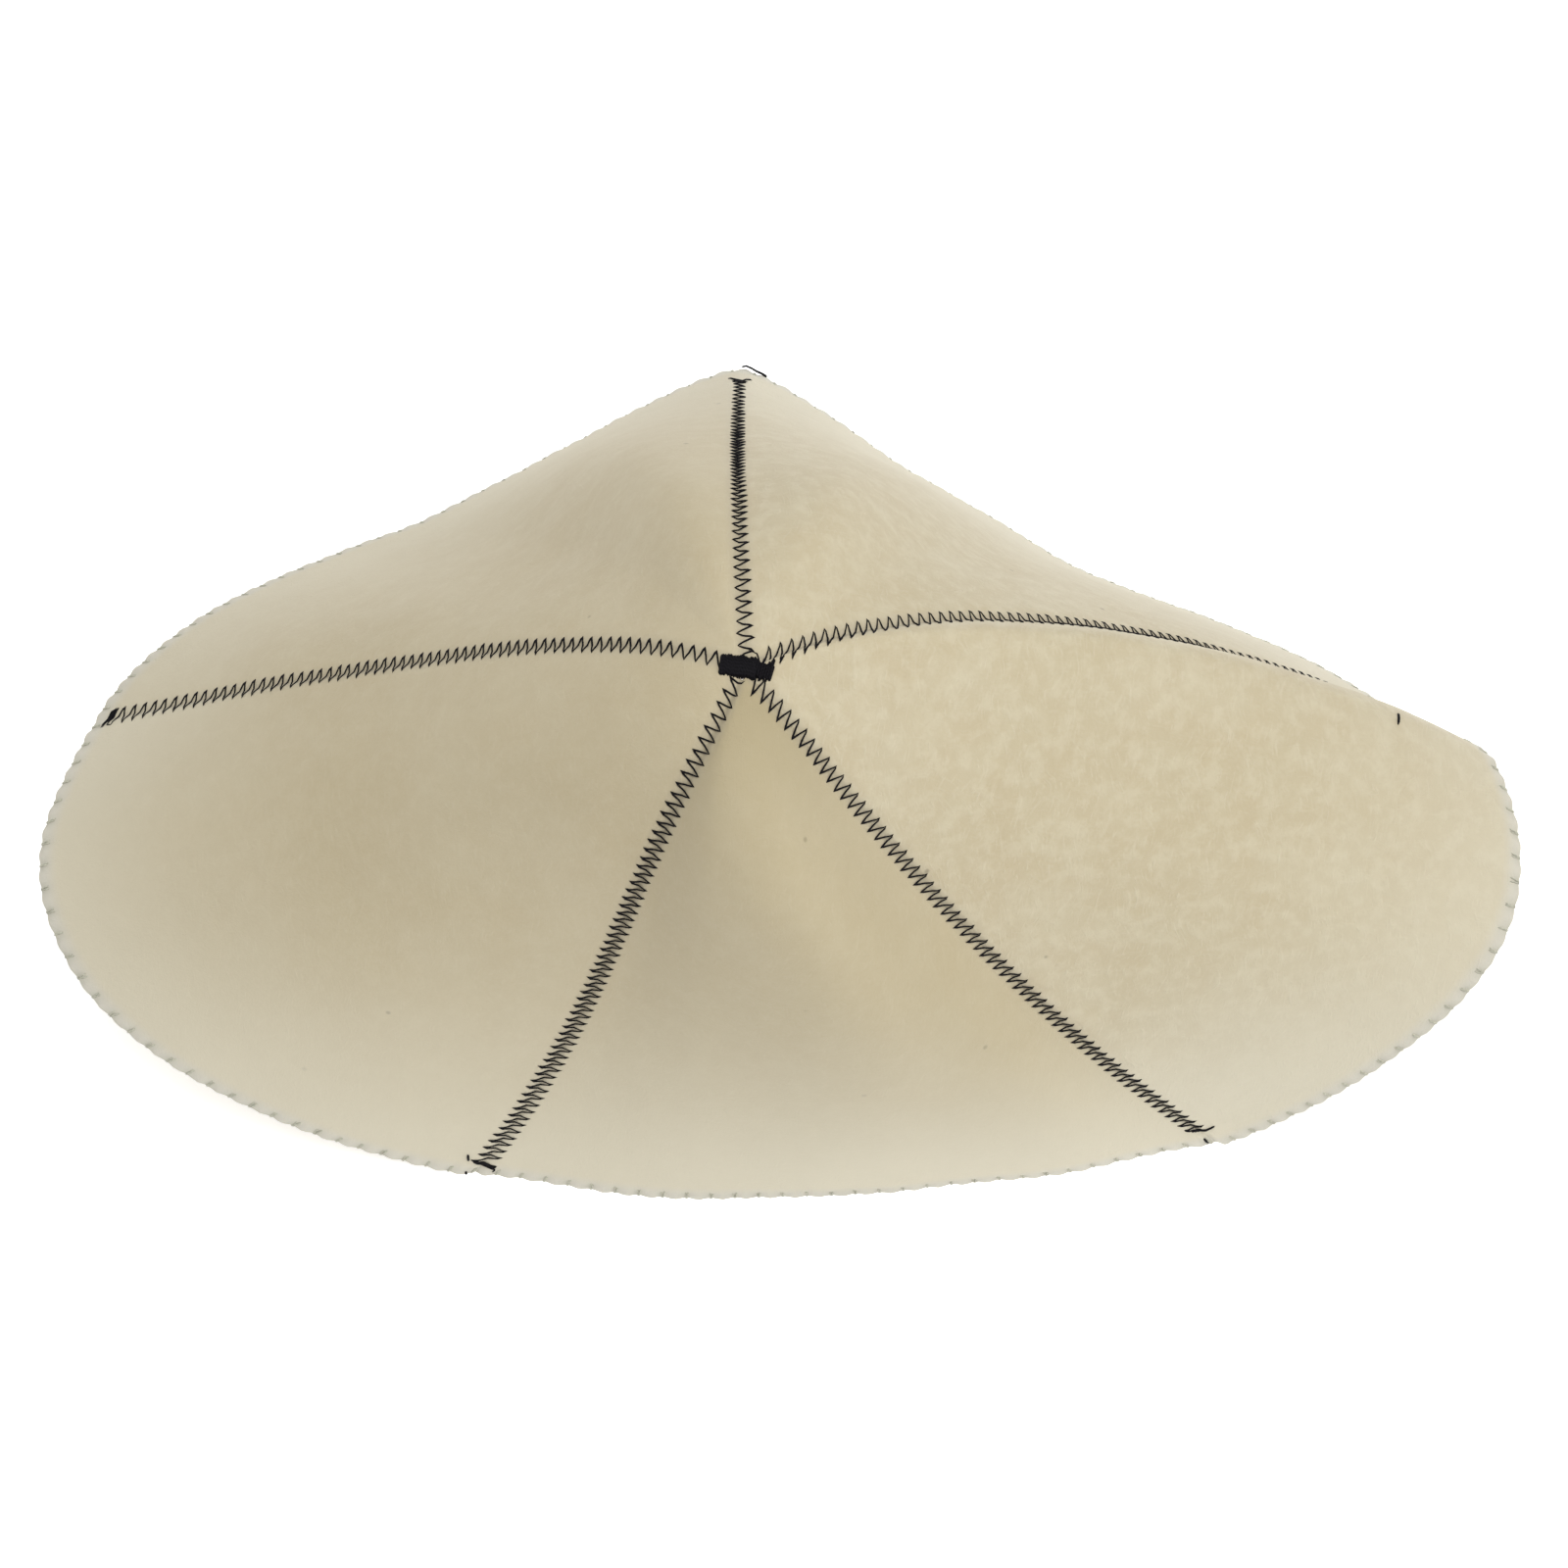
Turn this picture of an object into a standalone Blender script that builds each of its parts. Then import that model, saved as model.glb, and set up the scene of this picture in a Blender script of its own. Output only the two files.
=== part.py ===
"""Felt hat sewn from five gores, resting on its rim.

Metres, +Z up, +Y away from the front and the table at z = 0. The table of profiles is measured
from the apex, and the whole hat is then centred over the origin.
"""
import math

import bmesh
import bpy
import numpy as np
from mathutils import Matrix, Vector

# The felt wall
APEX_HEIGHT = 0.162
FELT_THICKNESS = 0.003
SEAM_GAP = 0.0003
GORE_COUNT = 5

# How finely each gore is faceted
CELLS_ACROSS = 16
CELLS_DOWN = 22
# Share of the profile left open at the tip, under the tack
TIP_SHARE = 0.016

# The wall's profile at each seam, at each gore's middle, and where the rim turns most: beside
# the back corner, along the front panel and at the fold beside the right seam.
# Every profile is one curve from the level apex down to the rim:
#   around     share of the way round the hat, counted from the right seam towards the back
#   crease     1 where the felt is folded along the profile, 0 where it runs on smoothly
#   crown_deg  plan direction in which the profile leaves the apex
#   rim_deg    plan direction of its rim point
#   reach      plan distance of the rim point from the apex
#   lift       height of the rim point over the table, below it where the felt is pressed flat
#   crown      length of the curve's level handle at the apex
#   slope_deg  how steeply the felt comes down at the rim
#   flare      length of the curve's handle at the rim
COLUMNS = ("name", "around", "crease", "crown_deg", "rim_deg", "reach", "lift", "crown", "slope_deg", "flare")
PROFILES = (
    ("right_seam", 0.0, 0, 28, 10, 0.174, 0.040, 0.040, 43, 0.088),
    ("back_right", 0.1, 0, 49, 40, 0.128, -0.001, 0.056, 64, 0.094),
    ("back_right_inner", 0.155, 0, 69, 68, 0.120, 0.006, 0.065, 69, 0.116),
    ("back_seam", 0.2, 1, 93, 91, 0.140, 0.012, 0.062, 55, 0.118),
    ("back_left_inner", 0.245, 0, 108, 113, 0.129, 0.006, 0.059, 67, 0.119),
    ("back_left", 0.3, 0, 130, 136, 0.138, -0.001, 0.049, 53, 0.097),
    ("left_seam", 0.4, 0, 158, 171, 0.176, 0.040, 0.041, 26, 0.105),
    ("side_left", 0.5, 0, 193, 194, 0.182, 0.048, 0.042, 25, 0.125),
    ("front_left_seam", 0.6, 0, 245, 230, 0.114, -0.001, 0.055, 55, 0.114),
    ("front_left_panel", 0.65, 0, 255, 266, 0.094, -0.001, 0.063, 73, 0.129),
    ("front", 0.7, 0, 270, 297, 0.102, -0.001, 0.054, 81, 0.124),
    ("front_right_panel", 0.75, 0, 289, 317, 0.125, -0.001, 0.038, 69, 0.108),
    ("front_right_seam", 0.8, 0, 312, 328, 0.149, -0.001, 0.028, 51, 0.096),
    ("side_right", 0.9, 0, 350, 347, 0.199, 0.061, 0.022, 19, 0.099),
    ("right_fold", 0.965, 0, 380, 362, 0.196, 0.066, 0.033, 34, 0.104),
)

# Gores in the order of PROFILES, each from its first seam to the next
GORE_NAMES = ("gore_back_right", "gore_back_left", "gore_left", "gore_front", "gore_right")

# Two overlapping satin bars tack the seams' ends at the apex: centre and size in plan
TACK_BARS = (
    ((-0.0015, 0.0004), (0.0090, 0.0062)),
    ((0.0042, -0.0012), (0.0050, 0.0050)),
)
TACK_THICKNESS = 0.0012
TACK_EDGE = 0.0004
TACK_CLEARANCE = 0.0003
TACK_CELL = 0.0015
# Steps that find the crown's height under the tack
TACK_PASSES = 4

FELT_COLOUR = (0.60, 0.53, 0.37, 1.0)
THREAD_COLOUR = (0.012, 0.012, 0.014, 1.0)


def clear_scene():
    for existing in list(bpy.data.objects):
        bpy.data.objects.remove(existing, do_unlink=True)


def make_collection(name):
    collection = bpy.data.collections.new(name)
    bpy.context.scene.collection.children.link(collection)
    return collection


def make_material(name, colour, roughness):
    material = bpy.data.materials.new(name)
    material.use_nodes = True
    surface = material.node_tree.nodes["Principled BSDF"]
    surface.inputs["Base Color"].default_value = colour
    surface.inputs["Roughness"].default_value = roughness
    surface.inputs["Metallic"].default_value = 0.0
    material.diffuse_color = colour
    return material


def column(name):
    place = COLUMNS.index(name)
    return np.array([row[place] for row in PROFILES], dtype=float)


def interpolate_around(values, around):
    """Closed cubic curve through one value of every profile, kinked at creases."""
    places = column("around")
    places = np.concatenate((places[-2:] - 1.0, places, places[:2] + 1.0))
    values = np.concatenate((values[-2:], values, values[:2]))
    creases = column("crease")
    creases = np.concatenate((creases[-1:], creases, creases[:1]))
    chords = np.diff(values) / np.diff(places)
    smooth = (values[2:] - values[:-2]) / (places[2:] - places[:-2])
    arriving = smooth + creases * (chords[:-1] - smooth)
    leaving = smooth + creases * (chords[1:] - smooth)
    around = around % 1.0
    left = int(np.searchsorted(places, around, side="right")) - 1
    width = places[left + 1] - places[left]
    share = (around - places[left]) / width
    start = (1 + 2 * share) * (1 - share) ** 2 * values[left]
    start += share * (1 - share) ** 2 * width * leaving[left - 1]
    end = share * share * (3 - 2 * share) * values[left + 1]
    end += share * share * (share - 1) * width * arriving[left]
    return start + end


def profile_at(around):
    """Curve handles and plan directions of the wall's profile at one place round the hat."""
    turn = 360.0 * column("around")
    value = {name: interpolate_around(column(name), around) for name in COLUMNS[5:]}
    for name in ("crown_deg", "rim_deg"):
        value[name] = interpolate_around(column(name) - turn, around) + 360.0 * (around % 1.0)
    slope = math.radians(value["slope_deg"])
    handles = (
        (0.0, APEX_HEIGHT),
        (value["crown"], APEX_HEIGHT),
        (value["reach"] - value["flare"] * math.cos(slope), value["lift"] + value["flare"] * math.sin(slope)),
        (value["reach"], value["lift"]),
    )
    return handles, math.radians(value["crown_deg"]), math.radians(value["rim_deg"])


def outer_point(around, down):
    """Point on the unpressed felt's outer face, from the apex (down = 0) to the rim (down = 1)."""
    handles, crown_turn, rim_turn = profile_at(around)
    weights = ((1 - down) ** 3, 3 * down * (1 - down) ** 2, 3 * down * down * (1 - down), down ** 3)
    reach = sum(weight * handle[0] for weight, handle in zip(weights, handles))
    height = sum(weight * handle[1] for weight, handle in zip(weights, handles))
    out = min(max(reach / handles[3][0], 0.0), 1.0)
    turn = crown_turn * (1 - out) + rim_turn * out
    return Vector((reach * math.cos(turn), reach * math.sin(turn), height))


def tangents(around, down):
    step = 0.002
    low, high = max(down - step, 0.0), min(down + step, 1.0)
    along = outer_point(around + step, down) - outer_point(around - step, down)
    steep = outer_point(around, high) - outer_point(around, low)
    return along / (2 * step), steep / (high - low)


def felt_point(around, down, depth, shift):
    """Point in the felt at a depth under its outer face, shifted sideways to leave a seam's gap.

    The felt is pressed flat where it meets the table.
    """
    along, steep = tangents(around, down)
    inward = along.cross(steep).normalized()
    point = outer_point(around, down) + inward * depth + along.normalized() * shift
    point.z = max(point.z, 0.0)
    return point


def make_gore(name, number, collection, material):
    first, last = number / GORE_COUNT, (number + 1) / GORE_COUNT
    bm = bmesh.new()
    bmesh.ops.create_grid(bm, x_segments=CELLS_ACROSS, y_segments=CELLS_DOWN, size=0.5)
    outer = list(bm.verts)
    extruded = bmesh.ops.extrude_face_region(bm, geom=bm.faces[:], use_keep_orig=True)
    inner = [item for item in extruded["geom"] if isinstance(item, bmesh.types.BMVert)]
    for verts, depth in ((outer, 0.0), (inner, FELT_THICKNESS)):
        for vert in verts:
            across = vert.co.x + 0.5
            down = TIP_SHARE + (1.0 - TIP_SHARE) * (0.5 - vert.co.y)
            shift = SEAM_GAP * (0.5 - across)
            vert.co = felt_point(first + (last - first) * across, down, depth, shift)
    bmesh.ops.recalc_face_normals(bm, faces=bm.faces[:])
    mesh = bpy.data.meshes.new(name)
    bm.to_mesh(mesh)
    bm.free()
    mesh.shade_smooth()
    mesh.materials.append(material)
    gore = bpy.data.objects.new(name, mesh)
    collection.objects.link(gore)
    return gore


def make_bar(name, centre, size, collection):
    bpy.ops.mesh.primitive_cube_add(size=1.0, location=(centre[0], centre[1], 0.0))
    bar = bpy.context.object
    bar.name = name
    bar.scale = (size[0], size[1], TACK_THICKNESS)
    bpy.ops.object.transform_apply(location=True, rotation=False, scale=True)
    for owner in list(bar.users_collection):
        owner.objects.unlink(bar)
    collection.objects.link(bar)
    return bar


def cut_into_cells(bm, axis):
    """Slice the mesh square to one axis, so that it can bend."""
    normal = Vector((axis == 0, axis == 1, 0.0))
    reach = max(abs(vert.co[axis]) for vert in bm.verts)
    for step in range(-int(reach / TACK_CELL), int(reach / TACK_CELL) + 1):
        everything = bm.verts[:] + bm.edges[:] + bm.faces[:]
        bmesh.ops.bisect_plane(bm, geom=everything, plane_co=normal * step * TACK_CELL, plane_no=normal)


def crown_height(spot, places, turns):
    """Height of the felt's outer face under a spot near the apex."""
    reach = math.hypot(spot.x, spot.y)
    if reach < TACK_EDGE:
        return APEX_HEIGHT
    turn = turns[0] + (math.atan2(spot.y, spot.x) - turns[0]) % (2 * math.pi)
    around = float(np.interp(turn, turns, places))
    handles, _, _ = profile_at(around)
    down = reach / (3 * handles[1][0])
    for _ in range(TACK_PASSES):
        point = outer_point(around, down)
        down *= reach / math.hypot(point.x, point.y)
    return outer_point(around, down).z


def make_tack(collection, guides, material):
    tack = make_bar("apex_tack", *TACK_BARS[0], collection)
    second = make_bar("tack_second_bar", *TACK_BARS[1], guides)
    second.hide_render = True
    second.display_type = "WIRE"
    join = tack.modifiers.new("second_bar", "BOOLEAN")
    join.operation = "UNION"
    join.solver = "EXACT"
    join.object = second
    edge = tack.modifiers.new("soft_edge", "BEVEL")
    edge.width = TACK_EDGE
    edge.segments = 1
    bpy.context.view_layer.objects.active = tack
    for modifier in [item.name for item in tack.modifiers]:
        bpy.ops.object.modifier_apply(modifier=modifier)

    # The bars follow the crown under them
    places = np.linspace(0.0, 1.0, 121)
    turns = np.unwrap([profile_at(place)[1] for place in places])
    rise = TACK_CLEARANCE + 0.5 * TACK_THICKNESS
    bm = bmesh.new()
    bm.from_mesh(tack.data)
    for axis in range(2):
        cut_into_cells(bm, axis)
    bmesh.ops.triangulate(bm, faces=bm.faces[:])
    for vert in bm.verts:
        vert.co.z += rise + crown_height(vert.co, places, turns)
    bmesh.ops.recalc_face_normals(bm, faces=bm.faces[:])
    bm.to_mesh(tack.data)
    bm.free()
    tack.data.shade_smooth()
    tack.data.materials.append(material)
    return tack


def centre_over_origin(objects):
    """Shift the meshes so that the hat's plan is centred on the origin."""
    corners = np.array([vert.co[:] for item in objects for vert in item.data.vertices])
    middle = 0.5 * (corners.min(axis=0) + corners.max(axis=0))
    for item in objects:
        item.data.transform(Matrix.Translation((-middle[0], -middle[1], 0.0)))


def main():
    clear_scene()
    hat = make_collection("felt_hat")
    guides = make_collection("guides")
    felt = make_material("felt", FELT_COLOUR, 0.95)
    thread = make_material("black_thread", THREAD_COLOUR, 0.55)
    for number, name in enumerate(GORE_NAMES):
        make_gore(name, number, hat, felt)
    make_tack(hat, guides, thread)
    centre_over_origin(hat.objects)


main()
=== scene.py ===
import math
import random

import bpy
import numpy as np
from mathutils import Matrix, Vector, noise


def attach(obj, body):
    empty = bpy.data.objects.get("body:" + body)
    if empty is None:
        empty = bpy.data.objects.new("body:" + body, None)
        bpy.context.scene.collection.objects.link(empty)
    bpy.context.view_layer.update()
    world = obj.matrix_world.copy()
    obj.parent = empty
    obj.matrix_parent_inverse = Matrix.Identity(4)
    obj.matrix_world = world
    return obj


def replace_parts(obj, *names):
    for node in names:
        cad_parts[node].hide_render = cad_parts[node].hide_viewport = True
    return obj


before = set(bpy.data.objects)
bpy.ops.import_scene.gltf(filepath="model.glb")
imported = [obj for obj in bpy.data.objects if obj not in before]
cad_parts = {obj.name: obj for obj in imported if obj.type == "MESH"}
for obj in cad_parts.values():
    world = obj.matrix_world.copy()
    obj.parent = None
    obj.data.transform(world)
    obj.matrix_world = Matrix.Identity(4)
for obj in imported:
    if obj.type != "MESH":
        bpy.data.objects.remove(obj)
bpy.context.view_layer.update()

bpy.ops.object.select_all(action="DESELECT")
print("frame loaded:", len(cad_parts), "nodes")


# camera: as the picture was taken, from above the front
cameraFrom = {
    "elevation": 72.0,
    "distance": 1.5,
    "lens": 140.06,
    "apexRight": -0.00964,
    "apexUp": 0.02843,
    "sensor": 36.0,
    "clip": (0.05, 20.0),
}

# the hat's own shape, the same profiles as the solids'
hat = {
    "apex": (-0.0074298, -0.0229749),
    "apexHeight": 0.162,
    "thickness": 0.003,
    "tipShare": 0.016,
    "gores": ("gore_back_right", "gore_back_left", "gore_left", "gore_front", "gore_right"),
}
# columns: around, crease, crownDeg, rimDeg, reach, lift, crown, slopeDeg, flare
hatProfiles = np.array((
    (0.0, 0, 28, 10, 0.174, 0.040, 0.040, 43, 0.088),
    (0.1, 0, 49, 40, 0.128, -0.001, 0.056, 64, 0.094),
    (0.155, 0, 69, 68, 0.120, 0.006, 0.065, 69, 0.116),
    (0.2, 1, 93, 91, 0.140, 0.012, 0.062, 55, 0.118),
    (0.245, 0, 108, 113, 0.129, 0.006, 0.059, 67, 0.119),
    (0.3, 0, 130, 136, 0.138, -0.001, 0.049, 53, 0.097),
    (0.4, 0, 158, 171, 0.176, 0.040, 0.041, 26, 0.105),
    (0.5, 0, 193, 194, 0.182, 0.048, 0.042, 25, 0.125),
    (0.6, 0, 245, 230, 0.114, -0.001, 0.055, 55, 0.114),
    (0.65, 0, 255, 266, 0.094, -0.001, 0.063, 73, 0.129),
    (0.7, 0, 270, 297, 0.102, -0.001, 0.054, 81, 0.124),
    (0.75, 0, 289, 317, 0.125, -0.001, 0.038, 69, 0.108),
    (0.8, 0, 312, 328, 0.149, -0.001, 0.028, 51, 0.096),
    (0.9, 0, 350, 347, 0.199, 0.061, 0.022, 19, 0.099),
    (0.965, 0, 380, 362, 0.196, 0.066, 0.033, 34, 0.104),
))


def roundHat(values, around):
    places = hatProfiles[:, 0]
    places = np.concatenate((places[-2:] - 1.0, places, places[:2] + 1.0))
    values = np.concatenate((values[-2:], values, values[:2]))
    creases = np.concatenate((hatProfiles[-1:, 1], hatProfiles[:, 1], hatProfiles[:1, 1]))
    chords = np.diff(values) / np.diff(places)
    smooth = (values[2:] - values[:-2]) / (places[2:] - places[:-2])
    arriving = smooth + creases * (chords[:-1] - smooth)
    leaving = smooth + creases * (chords[1:] - smooth)
    around = np.mod(around, 1.0)
    left = np.searchsorted(places, around, side="right") - 1
    width = places[left + 1] - places[left]
    share = (around - places[left]) / width
    start = (1 + 2 * share) * (1 - share) ** 2 * values[left]
    start = start + share * (1 - share) ** 2 * width * leaving[left - 1]
    end = share * share * (3 - 2 * share) * values[left + 1]
    end = end + share * share * (share - 1) * width * arriving[left]
    return start + end


def profilePoint(around, down):
    reach, lift, crown, slope, flare = (roundHat(hatProfiles[:, i], around) for i in range(4, 9))
    slope = np.radians(slope)
    turns = []
    for i in (2, 3):
        turn = roundHat(hatProfiles[:, i] - 360.0 * hatProfiles[:, 0], around)
        turns.append(np.radians(turn + 360.0 * np.mod(around, 1.0)))
    w1, w2, w3 = 3 * down * (1 - down) ** 2, 3 * down * down * (1 - down), down ** 3
    out = w1 * crown + w2 * (reach - flare * np.cos(slope)) + w3 * reach
    high = ((1 - down) ** 3 + w1) * hat["apexHeight"] + w2 * (lift + flare * np.sin(slope)) + w3 * lift
    share = np.clip(out / reach, 0.0, 1.0)
    turn = turns[0] * (1 - share) + turns[1] * share
    return np.stack((hat["apex"][0] + out * np.cos(turn), hat["apex"][1] + out * np.sin(turn), high), axis=-1)


# some profiles end under the table: halving finds the share of each one that stays above it
rimPlaces = np.linspace(0.0, 1.0, 721)
rimShares, under = np.full_like(rimPlaces, 0.9), np.ones_like(rimPlaces)
for _ in range(24):
    middle = 0.5 * (rimShares + under)
    sunk = profilePoint(rimPlaces, middle)[:, 2] < 0.0
    rimShares, under = np.where(sunk, rimShares, middle), np.where(sunk, middle, under)


def openFelt(around, down):
    return profilePoint(around, down * np.interp(np.mod(around, 1.0), rimPlaces, rimShares))


def unit(vectors):
    return vectors / np.linalg.norm(vectors, axis=-1, keepdims=True)


def feltFrame(around, down):
    step = 0.002
    low, high = np.maximum(down - step, 0.0), np.minimum(down + step, 1.0)
    along = (openFelt(around + step, down) - openFelt(around - step, down)) / (2 * step)
    steep = (openFelt(around, high) - openFelt(around, low)) / (high - low)[..., None]
    return openFelt(around, down), along, steep, unit(np.cross(steep, along))


# the wool felt: how far the sewing pulls it in and how uneven it is
feltSewing = {
    "grooveDepth": 0.0007,
    "grooveWidth": 0.0013,
    "dimple": 0.00025,
    "dimpleWidth": 0.0009,
    "lumps": 0.00045,
    "lumpSize": 0.030,
    "ripples": 0.00014,
    "rippleSize": 0.008,
    "scallop": 0.00030,
    "puff": 0.00025,
    "rimBand": 0.0024,
    "insideShare": 0.5,
    "columns": 168,
    "rows": 116,
    # how much closer the mesh is at the seams and at the rim
    "closeAtSeams": 0.4,
    "closeAtRim": 0.5,
    "edge": 0.0005,
    # how far each gore's nap is raised; the paler tint this gives the right-hand gores is partly painted
    # light
    "napAndLight": (0.9, 0.25, 0.15, 0.2, 1.0),
    # painted shade: how dark each gore is at the tip, along its last seam and all over
    "paintedShade": ((0.0, 0.0, 0.0), (0.0, 0.0, 0.0), (0.15, 0.0, 0.0), (0.78, 0.18, 0.16), (0.0, 0.0, 0.0)),
    "tipReach": 0.034,
    "ridgeAcross": 0.8,
    "ridgeWidth": 0.22,
    "ridgeReach": 0.05,
    # painted light from the floor and the low side lights: how far up from the rim the felt pales, where it
    # lies flat and where it stands
    "paleFlat": 0.058,
    "paleSteep": 0.095,
    # how strongly it pales when flat, how much more when it stands and faces the side lights, and the share
    # at each gore's two seams
    "paleLeast": 0.8,
    "paleMore": 0.4,
    "paleShare": ((1.0, 1.0), (0.8, 0.7), (1.0, 1.0), (1.0, 1.0), (1.4, 0.3)),
}
zigzag = {
    "pitch": 0.00325,
    "radius": 0.00020,
    "start": 0.0032,
    "wander": 0.00012,
    # how thick the thread is at each side of the seam, and how much thicker near the apex
    "heavy": 1.22,
    "light": 0.82,
    "sideReach": 0.002,
    "nearApex": 1.2,
    "apexReach": 0.1,
    # one stitch: share of its length and height in thread radii, then the heights at a hole and at the end
    "stitch": ((0.16, 0.8), (0.5, 1.05), (0.84, 0.8)),
    "holeHeight": 0.1,
    "endHeight": -0.35,
    "seams": ("right", "back", "left", "front_left", "front_right"),
    # half the width at the apex and at the rim, and how far from the rim the seam ends
    "halfWidths": ((0.0030, 0.0036), (0.0021, 0.0016), (0.0022, 0.0031), (0.0023, 0.0036), (0.0024, 0.0031)),
    "ends": (0.0034, 0.0150, 0.0056, 0.0062, 0.0098),
    # the back seam's stitches are longer where it drops away: share of the seam and length
    "longSeam": 1,
    "longer": ((0.45, 1.0), (0.72, 1.6), (0.90, 1.6), (1.0, 1.3)),
    # the last stitches of each seam: run past its end and place across it
    "tacks": (
        ((0.0004, 0.0019), (0.0002, -0.0018), (-0.0006, 0.0020), (0.0006, -0.0019)),
        ((0.0000, 0.0020), (0.0003, -0.0020), (-0.0006, 0.0019), (0.0005, -0.0019), (0.0042, 0.0033),
         (0.0000, 0.0), (0.0042, -0.0033)),
        ((0.0004, 0.0030), (-0.0004, -0.0028), (0.0016, 0.0034), (0.0004, -0.0031), (0.0022, 0.0034),
         (0.0011, -0.0028)),
        ((-0.0006, -0.0037), (0.0017, 0.0034), (-0.0008, -0.0042), (0.0020, 0.0038), (-0.0003, -0.0036),
         (0.0024, 0.0037), (0.0002, -0.0030), (0.0028, 0.0036), (0.0010, -0.0016), (0.0034, 0.0040),
         (0.0048, 0.0039)),
        ((0.0000, -0.0018), (0.0000, 0.0034), (0.0006, -0.0018), (0.0001, 0.0052), (0.0012, -0.0012),
         (-0.0002, 0.0056), (0.0008, -0.0016), (-0.0003, 0.0050), (0.0015, -0.0006), (0.0000, 0.0040)),
    ),
}
overlock = {
    "stitches": 161,
    "bite": 0.0027,
    "radius": 0.00021,
    # how far the two threads of a stitch part, how that varies, and how the bites do
    "spread": 0.00030,
    "wander": 0.0003,
    "uneven": (0.88, 1.12),
    # the share of that spread at the edge, and how much it grows towards the hole
    "spreadAtEdge": 0.4,
    "spreadMore": 0.6,
    # from hole to edge over the felt and back to the hole under it: share of the bite, height in thread radii
    "over": ((1.0, -0.4), (0.82, 0.7), (0.5, 0.95), (0.2, 0.95), (0.0, 0.7)),
    "under": ((0.0, 0.7), (0.3, 0.9), (0.7, 0.8), (1.0, -0.4)),
    "turn": (0.3, 0.7),
    "turnOut": 0.8,
    # the looper thread: points to a stitch, share of the felt's thickness and thread radii beyond the edge
    "looperPoints": 6,
    "looperDepth": 0.45,
    "looperOut": 0.6,
}

rimSteps = np.linspace(0.0, 1.0, 2001)
rimLine = openFelt(rimSteps, np.ones_like(rimSteps))
rimLine[:, 2] = np.maximum(rimLine[:, 2], 0.0)
rimRun = np.concatenate(([0.0], np.cumsum(np.linalg.norm(np.diff(rimLine, axis=0), axis=1))))
print("rim length", round(float(rimRun[-1]), 3))


def rimStitch(around):
    return np.interp(np.mod(around, 1.0), rimSteps, rimRun) / rimRun[-1] * overlock["stitches"]


downSteps = np.linspace(0.0, 1.0, 601)
seamRuns = []
for seam in range(5):
    line = openFelt(np.full_like(downSteps, seam / 5), downSteps)
    line[:, 2] = np.maximum(line[:, 2], 0.0)
    seamRuns.append(np.concatenate(([0.0], np.cumsum(np.linalg.norm(np.diff(line, axis=0), axis=1)))))


def halfWidth(seam, run):
    near, far = zigzag["halfWidths"][seam]
    return near + (far - near) * run / seamRuns[seam][-1]


def unevenness(points):
    flat = points.reshape(-1, 3)
    elsewhere = Vector((7.0, 3.0, 5.0))
    out = np.empty(len(flat))
    for i, p in enumerate(flat):
        big = noise.noise(Vector(p) / feltSewing["lumpSize"])
        small = noise.noise(Vector(p) / feltSewing["rippleSize"] + elsewhere)
        out[i] = big * feltSewing["lumps"] + small * feltSewing["ripples"]
    return out.reshape(points.shape[:-1])


def sewnFelt(around, down, depth=0.0):
    # point and outward normal of the felt as the stitches have drawn it in
    point, along, steep, out = feltFrame(around, down)
    span = np.linalg.norm(along, axis=-1)
    drop = np.linalg.norm(steep, axis=-1)
    seam = np.round(np.mod(around, 1.0) * 5).astype(int)
    beside = np.abs(np.mod(around, 1.0) - seam / 5) * span
    side = np.sign(np.mod(around, 1.0) - seam / 5)
    run, half = np.zeros_like(beside), np.zeros_like(beside)
    for k in range(5):
        here = np.mod(seam, 5) == k
        run[here] = np.interp(down[here], downSteps, seamRuns[k])
        half[here] = halfWidth(k, run[here])
    grooveShade = -feltSewing["grooveDepth"] * np.exp(-(beside / feltSewing["grooveWidth"]) ** 2)
    hole = 0.5 + 0.5 * np.cos(2 * math.pi * ((run - zigzag["start"]) / zigzag["pitch"] + 0.25 * (1 - side)))
    dimple = -feltSewing["dimple"] * hole * np.exp(-((beside - half) / feltSewing["dimpleWidth"]) ** 2)
    fromRim = (1.0 - down) * drop
    pinch = 0.5 + 0.5 * np.cos(2 * math.pi * rimStitch(around))
    inBand = np.exp(-(fromRim / feltSewing["rimBand"]) ** 2)
    lift = grooveShade + dimple + feltSewing["puff"] * inBand * (1 - 2 * pinch)
    lift = lift + unevenness(point)
    back = -feltSewing["scallop"] * pinch * inBand
    lift = np.where(np.asarray(depth) > 0, -lift * feltSewing["insideShare"], lift)
    moved = point + out * (lift - depth)[..., None] + unit(steep) * back[..., None]
    moved[..., 2] = np.maximum(moved[..., 2], 0.0)
    return moved, out


# materials
class Wire:
    def __init__(self, paint, socket):
        self.paint = paint
        self.socket = socket

    def other(self, output):
        return Wire(self.paint, self.socket.node.outputs[output])

    def sum(self, operation, first, second):
        return self.paint.node("ShaderNodeMath", {"operation": operation}, {0: first, 1: second})

    def __add__(self, other):
        return self.sum("ADD", self, other)

    __radd__ = __add__

    def __sub__(self, other):
        return self.sum("SUBTRACT", self, other)

    def __rsub__(self, other):
        return self.sum("SUBTRACT", other, self)

    def __mul__(self, other):
        return self.sum("MULTIPLY", self, other)

    __rmul__ = __mul__


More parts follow.
